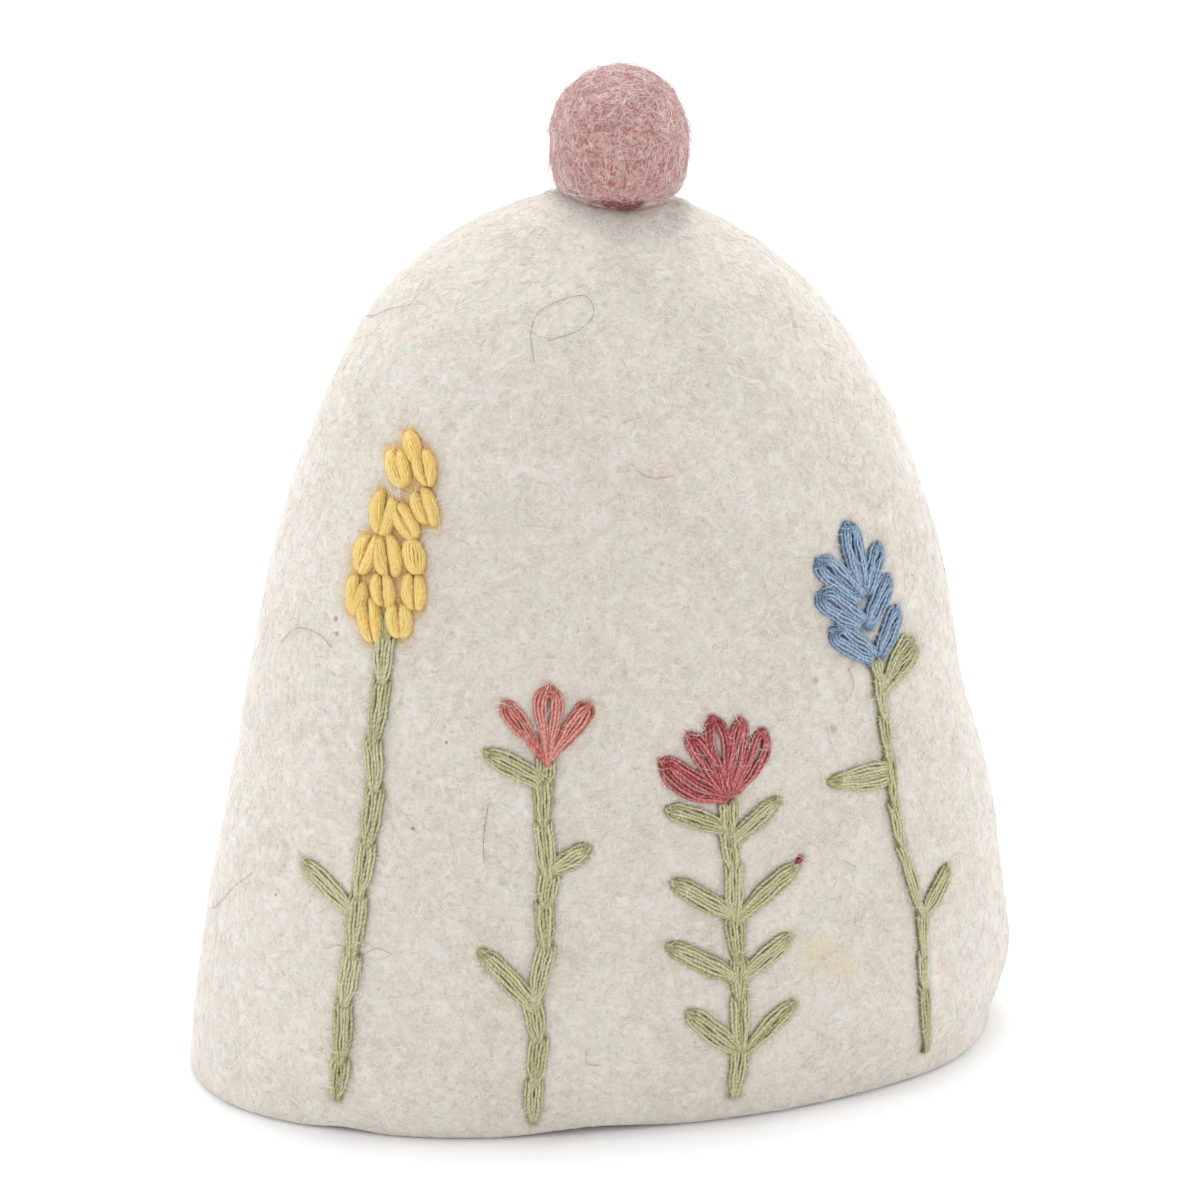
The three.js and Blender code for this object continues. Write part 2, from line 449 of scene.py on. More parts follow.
# what the two felts' shaders have in common
FELT_SHINE = {"Roughness": 0.95, "Sheen_Roughness": 0.45, "Specular_IOR_Level": 0.1}
WOOL = tint(213, 206, 194)
WOOL_DEEP = tint(205, 195, 180)
WOOL_PATCHES = (
    # size, shift, where the patch begins and is full, share and colour: first rosy, then mossy
    (2.0, 13.0, 0.46, 0.64, 0.75, tint(214, 200, 191)),
    (2.4, 29.0, 0.48, 0.66, 0.7, tint(207, 206, 192)),
)
WOOL_TAN = tint(186, 172, 152)
WOOL_PALE = tint(229, 225, 218)
GREASE_STAIN = tint(214, 200, 165)
DYE_SPOT = tint(233, 196, 201)
# brown grime and painted shade round the needle holes
HOLE_GRIME_AND_SHADE = tint(178, 158, 132)


def cream_felt(spots):
    """Matted cream wool: slow drifts of tone, rosy and mossy patches, pale wisps, tan hollows between the
    fibres, bundles of fine pale fibres in layers, and the marks that came with the fleece."""
    paint = Paint("cream_felt", **FELT_SHINE, Sheen_Weight=0.6)
    color = paint.mix(paint.step(paint.noise(7.0, 3.0), 0.35, 0.7), WOOL, WOOL_DEEP)
    for size, shift, low, high, share, shade in WOOL_PATCHES:
        patch = paint.step(paint.noise(size, 3.0, shift=shift), low, high)
        color = paint.mix(patch * share, color, shade)
    wisps = paint.noise(1.3, 4.0, shift=41.0, Distortion=1.2)
    color = paint.mix(paint.step(wisps, 0.48, 0.7) * 0.5, color, WOOL_PALE)
    hollows = paint.noise(0.5, 3.0, shift=3.0, Distortion=0.6)
    tan = paint.step(hollows, 0.5, 0.72) * paint.step(wisps, 0.62, 0.4)
    color = paint.mix(tan * 0.65, color, WOOL_TAN)
    hairs = paint.hairs(((1.5, 5.0, 5.0, 1.0), (2.2, 17.0, 7.0, 1.0), (0.9, 23.0, 4.0, 0.8)))
    color = paint.mix(hairs * 0.45, color, WOOL_PALE)
    for centre, inside, outside, share, shade in spots:
        color = paint.mix(paint.spot(centre, inside, outside) * share, color, shade)
    # brown grime and painted shade on the felt round the needle holes
    color = paint.mix(paint.attribute("hole_grime_and_shade") * 0.35, color, HOLE_GRIME_AND_SHADE)
    # painted shade in the thread's colour on the felt under the stitches, seen in the gaps between
    # strands
    color = paint.mix(paint.attribute("thread_gap_shade_share"), color, paint.attribute("thread_gap_shade_color", "Color"))
    height = hairs * 0.03 + wisps * 0.10 - tan * 0.06
    return paint.finish(color, height, 0.5)


# The felt's few marks: a yellowish stain low on the right, a soft pink spot beside it, and small dark or
# dyed specks. Each is x and height on the front, inside and outside radius, strength and colour.
SPECK_BROWN = tint(118, 96, 78)
SPECK_RED = tint(140, 62, 52)
MARKS = (
    (18.5, 18.0, 0.5, 3.2, 0.6, GREASE_STAIN),
    (21.5, 16.0, 0.5, 2.6, 0.5, GREASE_STAIN),
    (34.0, 12.0, 0.3, 1.1, 0.8, DYE_SPOT),
    (-30.5, 55.5, 0.05, 0.45, 0.7, SPECK_RED),
    (-30.5, 54.0, 0.05, 0.4, 0.6, SPECK_RED),
    (-20.5, 44.0, 0.05, 0.25, 0.8, SPECK_BROWN),
    (-37.5, 25.5, 0.05, 0.25, 0.7, SPECK_BROWN),
    (-39.5, 35.5, 0.05, 0.2, 0.7, SPECK_BROWN),
    (18.5, 47.5, 0.1, 0.6, 0.45, SPECK_BROWN),
    (20.5, 42.0, 0.1, 0.9, 0.4, SPECK_BROWN),
    (-24.0, 34.5, 0.05, 0.3, 0.8, SPECK_RED),
)


def halve(shape, low, high, short):
    """For each cell of an array, the value between low and high up to which it falls short, found by
    halving the way between them."""
    low, high = np.full(shape, low), np.full(shape, high)
    for _ in range(HALVINGS):
        middle = (low + high) / 2.0
        more = short(middle)
        low = np.where(more, middle, low)
        high = np.where(more, high, middle)
    return low


def front(x, height, lift=0.0):
    """Points on the embroidered face at this x and height, and the way out of the felt there. The angle
    is found by halving, because x grows steadily from the left end of the front to the right end."""
    turn = halve(np.shape(x), np.pi, 2.0 * np.pi, lambda turn: wall(turn, height)[..., 0] < x)
    return skin(turn, np.interp(height, HEIGHTS, RUNS), lift)


cream = cream_felt([(front(x, z)[0], *look) for x, z, *look in MARKS])

rings = bag_rings()
crown_point = skin(1.5 * np.pi, FULL_RUN)[0] * (0.0, 0.0, 1.0) + (BAG_AXIS_X, 0.0, 0.0)
ceiling_point = np.array([BAG_AXIS_X, 0.0, CROWN - FELT])
points, faces = closed_rings(rings, crown_point, ceiling_point)
bag = new_piece("bag_skin", points, faces, cream, "cream_felt")
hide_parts("felt_bag")


# --- The felt ball -----------------------------------------------------------------------------------
# A ball of dusty-rose wool rolled in the hands until it was hard, with paler fibres wound over it. It is
# sewn through its underside to the crown, which squashes its foot wide.

BALL_RADIUS = 7.5
BALL_AT = np.array([BAG_AXIS_X + 2.5, 0.0, 101.6])
BALL_FOOT_POWER = 3.2
BALL_TALL = 1.05  # the top half is a little taller than a ball
BALL_GAP = 0.1
BALL_FUZZ = 0.45  # the felted body is this much inside the tips of its fuzz
BALL_AROUND = 150
BALL_RINGS = 100
BALL_RELIEF = ((0.12, 3.2, 11), (0.10, 1.5, 12), (0.07, 0.7, 13))


def crown_height(x, y):
    """Height of the bag's crown over each point of the plan, by halving: the plan shrinks with height,
    so the point is inside the bag's superellipse up to that height."""

    def inside(height):
        end = wall(np.where(x < BAG_AXIS_X, np.pi, 0.0), height)[..., 0] - BAG_AXIS_X
        back = wall(np.pi / 2.0, height)[..., 1]
        return np.abs((x - BAG_AXIS_X) / end) ** OVAL_POWER + np.abs(y / back) ** OVAL_POWER < 1.0

    return halve(np.shape(x), CROWN / 2.0, CROWN, inside)


def ball_skin(away, lift=0.0):
    """Points of the ball in the direction of each unit vector. The upper half is a sphere with lumps. In
    the lower half the radius is R·sin^(2/p) and the drop R·cos^(2/p), which fills out the foot, and
    nothing reaches below the crown."""
    down = np.arccos(np.clip(away[..., 2], -1.0, 1.0))
    around = np.arctan2(away[..., 1], away[..., 0])
    power = np.where(down > np.pi / 2.0, 2.0 / BALL_FOOT_POWER, 1.0)
    out = relief(away * BALL_RADIUS, BALL_RELIEF) + lift + BALL_RADIUS - BALL_FUZZ
    flat = out * np.sin(down) ** power
    x = BALL_AT[0] + flat * np.cos(around)
    y = flat * np.sin(around)
    rise = out * signed_power(np.cos(down), power) * np.where(away[..., 2] > 0.0, BALL_TALL, 1.0)
    z = np.maximum(BALL_AT[2] + rise, crown_height(x, y) + BALL_GAP)
    return np.stack([x, y, z], axis=-1)


ROSE = tint(202, 155, 148)
ROSE_DEEP = tint(164, 92, 86)
ROSE_PALE = tint(236, 214, 209)
# red-brown of the sewing and the painted shadow at the ball's foot
SEAM_RED_AND_SHADOW = tint(132, 50, 32)
SEAM_AND_SHADOW_EDGE = (96.9, 97.4)
SEAM_AND_SHADOW_RAGGED = 1.4
# painted shade: the ball's lower part is drawn in deeper rose, fading out between these heights
ROSE_FOOT_SHADE_TO = (97.0, 102.0)  # the foot's deeper rose fades out between these heights
SEAM_AND_SHADOW_PATCHES = (
    # middle and reach of each patch along the front of the foot where the sewing and its painted shadow
    # show
    ((1.4, -5.9, 95.7), 2.2),
    ((-0.8, -5.8, 95.8), 1.5),
    ((-2.3, -5.2, 96.0), 1.1),
    ((-3.9, -4.2, 96.2), 1.4),
)


def seam_and_shadow(paint):
    """How far the red-brown sewing and the painted shadow at the foot show: in patches along the foot,
    with a ragged upper edge.
    """
    edge = paint.height() + paint.noise(0.9, 2.0, shift=51.0) * SEAM_AND_SHADOW_RAGGED
    low = 1.0 - paint.step(edge, *SEAM_AND_SHADOW_EDGE)
    shown = low * 0.0
    for centre, reach in SEAM_AND_SHADOW_PATCHES:
        shown = shown.math("MAXIMUM", shown, low * paint.spot(centre, reach * 0.5, reach))
    return shown


def rose_felt():
    """Hard-rolled rose wool: blotches of deeper pink, pits, and pale fibres crossing in layers, painted
    shade of deeper rose on its lower part, and at the foot, where it is drawn down onto the crown, the
    red-brown sewing with a painted shadow."""
    paint = Paint("rose_felt", **FELT_SHINE, Sheen_Weight=1.0)
    color = paint.mix(paint.step(paint.noise(2.6, 3.0), 0.4, 0.75) * 0.6, ROSE, ROSE_DEEP)
    pits = paint.step(paint.noise(0.45, 2.0, shift=7.0), 0.46, 0.6)
    color = paint.mix(pits * 0.85, color, ROSE_DEEP)
    hairs = paint.hairs(((1.4, 5.0, 5.0, 1.0), (0.9, 17.0, 4.0, 1.0), (2.0, 23.0, 7.0, 1.0)))
    color = paint.mix(hairs * 0.5, color, ROSE_PALE)
    # painted shade on the lower part of the ball
    color = paint.mix((1.0 - paint.step(paint.height(), *ROSE_FOOT_SHADE_TO)) * 0.25, color, ROSE_DEEP)
    # the red-brown sewing and painted shadow at the front of the foot
    color = paint.mix(seam_and_shadow(paint) * 0.95, color, SEAM_RED_AND_SHADOW)
    return paint.finish(color, hairs * 0.06 - pits * 0.15, 0.7)


down = np.linspace(0.0, np.pi, BALL_RINGS + 2)[1:-1, None]
around = np.arange(BALL_AROUND)[None, :] * 2.0 * np.pi / BALL_AROUND
tall = np.broadcast_to(np.cos(down), (BALL_RINGS, BALL_AROUND))
away = np.stack([np.sin(down) * np.cos(around), np.sin(down) * np.sin(around), tall], axis=-1)
poles = ball_skin(np.array([(0.0, 0.0, 1.0), (0.0, 0.0, -1.0)]))
points, faces = closed_rings(ball_skin(away), poles[0], poles[1])
rose = rose_felt()
ball = new_piece("ball_skin", points, faces, rose, "rose_felt")
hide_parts("felt_ball")


# --- Green stems and leaves --------------------------------------------------------------------------
# Stranded cotton drawn through the felt with a needle. Each stem is a row of chain stitches worked up
# from the hem, every loop caught by the next, and each leaf is one longer loop tied down at its tip. The
# thread is worn, so short fibres stand out of it.

STRAND = 0.44  # thickness of one strand
STRAND_STEP = 0.22
STRAND_SIDES = 6
STRAND_TIP = 0.1
PLY_TURN = 1.2  # a strand is two plies, and they turn once round each other in this length
STRAND_OVER = 0.16  # how much higher than the next one out a strand turns at a loop's tip
LEG_DIVE = 1.1  # how far a loop's legs go into the felt at its base
TIE_REACH = 0.75
TIE_BEYOND = 0.2
TIE_HALF_WIDTH = 0.22
TIE_PUFF = 0.5
CHAIN_REACH = 1.3
CHAIN_SHAPE = {
    "gap": 0.35, "foot": 0.35, "sharp": 16.0, "bunch": 0.0, "opens": 0.5, "puff": 0.3, "sink": 0.9,
    "rise": 0.25,
}
random = np.random.default_rng(20)


def smooth_path(points, count):
    """A curve through given points, Catmull-Rom: each stretch is a cubic whose slope at a point is
    half the step between that point's neighbours."""
    points = np.asarray(points, float)
    padded = np.concatenate([[2 * points[0] - points[1]], points, [2 * points[-1] - points[-2]]])
    place = np.linspace(0.0, len(points) - 1 - 1e-9, count)
    index = place.astype(int)
    s = (place - index)[:, None]
    a, b, c, d = (padded[index + n] for n in range(4))
    bend = a - 2.5 * b + 2.0 * c - d / 2.0
    twist = 1.5 * (b - c) + (d - a) / 2.0
    return b + s * (c - a) / 2.0 + s**2 * bend + s**3 * twist


def stitch_plane(base, tip):
    """The stitch's length over the felt, and a function from its own plane, along and across, to x and
    height on the front. The felt curves away at the sides, so x is shortened by its slope there."""
    middle = (np.array(base) + np.array(tip)) / 2.0
    nudge = 0.2
    edges, _ = front(middle[0] + np.array([-nudge, nudge]), middle[1])
    slope = length(edges[1] - edges[0]) / (2.0 * nudge)
    step = np.array([(tip[0] - base[0]) * slope, tip[1] - base[1]])
    far = length(step)
    along_x, along_z = step / far

    def lay(along, across, lift, dusk):
        x = base[0] + (along_x * along + along_z * across) / slope
        z = base[1] + along_z * along - along_x * across
        return np.stack([x, z, lift, dusk], axis=-1)

    return far, lay


def waver(share, size):
    """A small smooth wandering along a strand: two sines with random phases."""
    phases = random.uniform(0.0, 2.0 * np.pi, 2)
    return size * (np.sin(4.0 * share + phases[0]) + 0.6 * np.sin(9.0 * share + phases[1]))


def loop(
    base, tip, strands, gap, foot, sharp, bunch, hole=0.05, opens=0.6, puff=0.32, bow=0.0, sink=0.1,
    rise=0.1, full=0.45,
):
    """The strands of one chain stitch. Its two legs leave the base side by side and turn into each other
    at the tip: along = L(1 - cos a)/2 = L·s, for a from 0 to a full turn. The half-width of a strand is
    (slit + its place in the leg)·(1 - s^sharp)^0.5, and the slit opens from the share `opens` on. The
    strands lie `foot` as far apart at the base as at `full`, and bunch up again at the tip. Each leg
    is round on top, the base stands `rise` over what it covers, and `bow` bends the stitch sideways. The
    last column is how much grime and painted shade the strand gets, at the tip and where it comes out
    of the felt."""
    far, lay = stitch_plane(base, tip)
    angle = np.linspace(0.0, 2.0 * np.pi, 90)
    share = (1.0 - np.cos(angle)) / 2.0
    side = np.where(angle < np.pi, 1.0, -1.0)
    closing = np.sqrt(np.maximum(1.0 - share**sharp, 0.0))
    plump = np.clip(4.0 * share * (1.0 - share), 0.0, 1.0) ** 0.4
    packed = foot + (1.0 - foot) * smooth(share, 0.0, full) - bunch * smooth(share, 0.62, 1.0)
    slit = hole / 2.0 * smooth(share, opens, opens + 0.3)
    made = []
    for k in range(strands):
        reach = far - (strands - 1 - k) * gap * 0.6
        along = reach * share + waver(angle, 0.05)
        across = side * (slit + (k + 0.5) * gap * packed) * closing
        across = across + bow * np.sin(np.pi * share) + waver(angle, 0.05)
        roundness = 0.3 + 0.7 * math.sin(math.pi * (k + 0.5) / strands)
        lift = STRAND * 0.15 + puff * roundness * plump + rise * (1.0 - smooth(share, 0.0, 0.3))
        lift = lift + waver(angle, 0.03) + STRAND_OVER * (strands - 1 - k) * smooth(share, 0.7, 1.0)
        lift = lift - sink * smooth(share, 0.84, 1.0)
        lift = lift - LEG_DIVE * (1.0 - smooth(along, -0.3, 0.35))
        # grime and painted shade at the tip and where the strand comes out of the felt
        rubbed = np.maximum(smooth(share, 0.88, 1.0), 0.7 * (1.0 - smooth(along, 0.1, 0.9)))
        made.append(lay(along, across, lift, rubbed))
    return made


def lobe(base, tip, strands, half, puff, bow=0.0, sink=0.5, rubbed=0.0):
    """The strands of one padded straight stitch, laid like the meridians of half an egg: along is
    L(1 - cos a)/2, and each strand has its own angle b round the egg's axis, which grows a little along
    it, so across = W·sin a·sin b and lift = H·sin^0.6 a·cos b. Both ends sink into the felt."""
    far, lay = stitch_plane(base, tip)
    angle = np.linspace(0.0, np.pi, 40)
    share = (1.0 - np.cos(angle)) / 2.0
    lean = random.uniform(-0.9, 0.9)
    made = []
    for k in range(strands):
        b = math.radians(78.0) * (2.0 * k / max(strands - 1, 1) - 1.0) + lean * (share - 0.5)
        across = (half * np.sin(b) + bow) * np.sin(angle) ** 0.95 + waver(share * 2.0, 0.03)
        lift = (puff * np.cos(b) + 0.1) * np.sin(angle) ** 0.6 + waver(share * 2.0, 0.03)
        lift = lift - sink * (1.0 - smooth(np.sin(angle), 0.0, 0.5))
        # grime and painted shade at both ends of the stitch
        end_grime_and_shade_share = np.maximum(smooth(np.abs(share - 0.5), 0.4, 0.5), rubbed)
        made.append(lay(far * share, across, lift, end_grime_and_shade_share))
    return made


def tie(base, tip):
    """The short stitch of two strands that holds a loop's tip down, from inside the loop to just beyond
    it."""
    base, tip = np.array(base, float), np.array(tip, float)
    step = (tip - base) / length(tip - base)
    low, high = tip - step * TIE_REACH, tip + step * TIE_BEYOND
    # the whole tie gets some grime and painted shade
    return lobe(low, high, strands=2, half=TIE_HALF_WIDTH, puff=TIE_PUFF, sink=0.9, rubbed=0.5)


def chain(joints, strands):
    """A stem: a V-shaped loop between each needle hole and the next, from the foot. Each loop but the
    last reaches beyond the hole where the next one starts. There its legs part round the foot of the
    next one and dive into the felt under it."""
    made = []
    for n, (low, high) in enumerate(zip(joints[:-1], joints[1:])):
        low, high = np.array(low), np.array(high)
        ahead = (high - low) / length(high - low)
        beyond = CHAIN_REACH if n < len(joints) - 2 else 0.0
        made += loop(low, high + ahead * beyond, strands, **CHAIN_SHAPE)
    return made


def tube(middle, out, thick, angle, beyond):
    """A closed tube along a line over the felt. Round each point of the line is a ring of points at these
    angles, counted from its right side, and a tip stands `beyond` each end."""
    ahead = unit(np.gradient(middle, axis=0))
    side = unit(np.cross(ahead, out))
    up = np.cross(side, ahead)
    ring = np.cos(angle)[:, None] * side[:, None] + np.sin(angle)[:, None] * up[:, None]
    rings = middle[:, None] + ring * np.broadcast_to(thick, len(middle))[:, None, None]
    return closed_rings(rings, middle[0] - ahead[0] * beyond, middle[-1] + ahead[-1] * beyond)


def strand_tube(path, strand):
    """One strand's closed tube, with even steps along the path. Returns the points and faces, and for
    each point the cosine and sine of its angle round the strand, the way along the strand from a random
    start, the lift over the felt, and how much grime and painted shade it gets."""
    way = np.concatenate([[0.0], np.cumsum(length(np.diff(path[:, :3], axis=0)))])
    count = max(int(way[-1] / STRAND_STEP), 6)
    even = np.linspace(0.0, way[-1], count)
    x, z, lift, rubbed = (np.interp(even, way, path[:, n]) for n in range(4))
    middle, out = front(x, z, lift)
    thick = strand / 2.0 * random.uniform(0.93, 1.07) * (1.0 + waver(even, 0.02))
    angle = np.pi / 2.0 + np.arange(STRAND_SIDES) * 2.0 * np.pi / STRAND_SIDES
    points, faces = tube(middle, out, thick, angle, STRAND_TIP)
    start = random.uniform(0.0, PLY_TURN)
    known = {
        "flank": np.concatenate([[1.0], np.tile(np.cos(angle), count), [1.0]]),
        "crest": np.concatenate([[0.0], np.tile(np.sin(angle), count), [0.0]]),
        "way": np.concatenate([[0.0], np.repeat(even, STRAND_SIDES), [way[-1]]]) + start,
        "depth": np.concatenate([[-1.0], np.repeat(lift, STRAND_SIDES), [-1.0]]),
        "rubbed": np.concatenate([[1.0], np.repeat(rubbed, STRAND_SIDES), [1.0]]),
    }
    return points, faces, known


FIBRE_POINTS = 4
FIBRE_SIDES = 3


def fibre_mesh(middles, thick):
    """Closed three-sided spindles, one for each row of points: the first and last point are the tips, and
    a triangle of points stands round each point between. Returns vertices and faces for all at once."""
    count = len(middles)
    ahead = unit(middles[:, 2:] - middles[:, :-2])
    side = unit(np.cross(ahead, np.roll(ahead, 1, axis=-1) + (0.31, 0.17, 0.05)))
    up = np.cross(ahead, side)
    angle = np.arange(FIBRE_SIDES) * 2.0 * np.pi / FIBRE_SIDES
    ring = np.cos(angle)[:, None] * side[:, :, None] + np.sin(angle)[:, None] * up[:, :, None]
    body = middles[:, 1:-1, None] + ring * thick[:, None, None, None]
    inner = FIBRE_POINTS - 2
    points = np.concatenate([middles[:, :1], body.reshape(count, -1, 3), middles[:, -1:]], axis=1)
    per = points.shape[1]
    faces = []
    for n in range(FIBRE_SIDES):
        m = (n + 1) % FIBRE_SIDES
        faces.append((0, 1 + m, 1 + n))
        for r in range(inner - 1):
            a, b = 1 + r * FIBRE_SIDES, 1 + (r + 1) * FIBRE_SIDES
            faces.append((a + n, a + m, b + m))
            faces.append((a + n, b + m, b + n))
        last = 1 + (inner - 1) * FIBRE_SIDES
        faces.append((per - 1, last + n, last + m))
    faces = np.array(faces)[None] + (np.arange(count) * per)[:, None, None]
    return points.reshape(-1, 3), faces.reshape(-1, 3).tolist(), per


FUZZ_EACH = 1.8  # fibres that stand out of each millimetre of strand
FUZZ_THICK = 0.014


def strand_fuzz(path, strand):
    """Short fibres that have worked loose from one strand. Each starts at a random place on it, on top or
    at a side, and leaves at a narrow angle, arching a little."""
    steps = length(np.diff(path[:, :2], axis=0))
    count = int(steps.sum() * FUZZ_EACH + random.uniform())
    way = np.concatenate([[0.0], np.cumsum(steps)])
    start = np.interp(random.uniform(0.0, way[-1], count), way, np.arange(len(path)))
    index = np.clip(start.astype(int), 1, len(path) - 2)
    heading = np.arctan2(path[index + 1, 1] - path[index - 1, 1], path[index + 1, 0] - path[index - 1, 0])
    heading = heading + random.normal(0.0, 0.55, count)
    turn = random.normal(0.0, 0.9, count)
    far = random.uniform(0.5, 1.7, count)
    share = np.linspace(0.0, 1.0, FIBRE_POINTS)
    angles = heading[:, None] + turn[:, None] * share
    out_at = random.uniform(-1.0, 1.0, count)
    x = path[index, 0] - np.sin(heading) * out_at * strand * 0.5
    z = path[index, 1] + np.cos(heading) * out_at * strand * 0.5
    x = x[:, None] + np.cumsum(np.cos(angles), axis=1) * far[:, None] / FIBRE_POINTS
    z = z[:, None] + np.cumsum(np.sin(angles), axis=1) * far[:, None] / FIBRE_POINTS
    lift = path[index, 2] + strand * (0.2 + 0.32 * np.sqrt(1.0 - out_at**2))
    arch = random.uniform(0.0, 0.35, (count, 1)) * np.sin(np.pi * share) - 0.15 * share
    return front(x, z, np.maximum(lift[:, None] + arch, 0.05))[0]


def join_parts(parts):
    """The points and the faces of several skins, each as one list."""
    faces = []
    total = 0
    for points, own in parts:
        faces += [[n + total for n in face] for face in own]
        total += len(points)
    return np.concatenate([points for points, _ in parts]), faces


sewn = []
sewn_gap_shades = []


def sew(name, slot, finish, gap_shade, strands, strand=STRAND):
    """Makes all the strands of one colour one piece, with the values of each strand's points and a random
    tone for each strand as attributes, and then their loose fibres. It remembers where the strands lie
    and the thread-coloured painted shade that the felt gets in the gaps beneath them."""
    parts, fuzz = [], []
    values = {"flank": [], "crest": [], "way": [], "depth": [], "rubbed": [], "tone": []}
    for path in strands:
        points, quads, known = strand_tube(path, strand)
        parts.append((points, quads))
        known["tone"] = np.full(len(points), random.uniform(0.0, 1.0))
        for key, value in known.items():
            values[key].append(value)
        fuzz.append(strand_fuzz(path, strand))
        sewn.append(path)
        sewn_gap_shades.append(gap_shade[:3])
    fuzz = np.concatenate(fuzz)
    flat_from = sum(len(quads) for _, quads in parts)
    points, triangles, per = fibre_mesh(fuzz, random.uniform(0.6, 1.0, len(fuzz)) * FUZZ_THICK)
    parts.append((points, triangles))
    fuzz_values = {"flank": 0.0, "crest": 1.0, "way": PLY_TURN / 4.0, "depth": 1.0, "rubbed": 0.0}
    for key, value in fuzz_values.items():
        values[key].append(np.full(len(points), value))
    values["tone"].append(np.repeat(random.uniform(0.3, 1.0, len(fuzz)), per))
    joined = {key: np.concatenate(value) for key, value in values.items()}
    new_piece(name, *join_parts(parts), finish, slot, joined, flat_from)


# what the shaders of cotton and of single fibres have in common
FIBRE_SHINE = {"Sheen_Roughness": 0.4, "Specular_IOR_Level": 0.2}


def cotton(name, pale, middle, shade, tip_shade):
    """Twisted cotton with a soft sheen, with a painted highlight along the top of each strand and painted
    shade down its sides and between its plies. With B the angle round a strand and w the way along it,
    the two plies are the crests of cos(2B + 4πw/turn), opened out by the rules for sums of angles. Each
    strand has a tone of its own, gets grime and painted shade where it is caught down and where it goes
    into the felt, and takes the painted shade colour where it lies below the felt's face."""
    paint = Paint(name, **FIBRE_SHINE, Sheen_Weight=0.5, Roughness=0.8)
    flank, crest = paint.attribute("flank"), paint.attribute("crest")
    turned = paint.attribute("way") * (4.0 * math.pi / PLY_TURN) + paint.noise(1.0, 1.0) * 9.0
    size = flank * flank + crest * crest
    double = (flank * flank - crest * crest) * turned.math("COSINE", turned)
    plies = (double - flank * crest * 2.0 * turned.math("SINE", turned)) / size
    ply = paint.step(plies, -0.9, 0.5)
    tone = paint.attribute("tone")
    fleck = paint.noise(0.35, 3.0, shift=9.0)
    # painted shade down the sides of each strand and between its plies, mixed with its own tone
    body = paint.step(crest, 0.25, 0.9) * 0.7 + ply * 0.25 + (fleck - 0.45) * 0.9 + (tone - 0.45) * 0.3
    color = paint.mix(body, shade, middle)
    # painted highlight along the top of each strand
    painted_highlight = paint.step(crest, 0.5, 1.0) * paint.step(tone + fleck * 0.8, 0.3, 1.0) * (ply * 0.5 + 0.5)
    color = paint.mix(painted_highlight * 0.9, color, pale)
    # grime and painted shade at the ends of a strand
    color = paint.mix(paint.attribute("rubbed") * 0.6, color, tip_shade)
    # painted shade on the parts of a strand that lie below the felt's face
    color = paint.mix(1.0 - paint.step(paint.attribute("depth"), -0.45, 0.05), color, shade)
    return paint.finish(color, ply * 0.02 + fleck * 0.05 + paint.noise(0.12, 1.0, shift=2.0) * 0.04, 0.8)


# each cotton's painted highlight on top, its body colour, its painted shade in the hollows between
# strands and where it sinks into the felt, and its grime and painted shade at the ends
green = cotton(
    "green_cotton", tint(214, 211, 176), tint(184, 180, 134), tint(108, 102, 60), tint(142, 120, 78)
)
# painted shade on the felt in the gaps under the green stitches
GREEN_GAP_SHADE = tint(160, 152, 112)
STEM_JOINTS = (
    # each stem's needle holes from the foot up, and its strands to a leg
    (((-32.5, 4.0), (-32.0, 8.5), (-31.5, 15.0), (-30.5, 20.0), (-29.5, 26.5), (-28.5, 32.0),
      (-27.5, 38.0), (-27.5, 43.0), (-26.5, 49.5), (-26.0, 54.0), (-26.0, 57.0)), 3),
    (((-12.5, 2.0), (-12.5, 6.5), (-12.0, 11.5), (-12.5, 15.5), (-11.0, 21.5), (-11.0, 26.0),
      (-10.5, 29.0), (-11.0, 35.0), (-11.0, 39.5), (-10.5, 42.5)), 3),
    (((9.0, 3.0), (9.5, 8.5), (9.5, 14.0), (9.5, 18.0), (9.0, 23.0), (9.0, 28.5), (8.5, 32.5),
      (8.5, 36.5)), 3),
    (((31.5, 3.5), (31.0, 11.0), (31.0, 14.5), (31.0, 19.0), (28.5, 27.5), (27.5, 32.0), (27.0, 37.0),
      (26.5, 41.5), (26.0, 46.0), (25.5, 48.5)), 2),
)
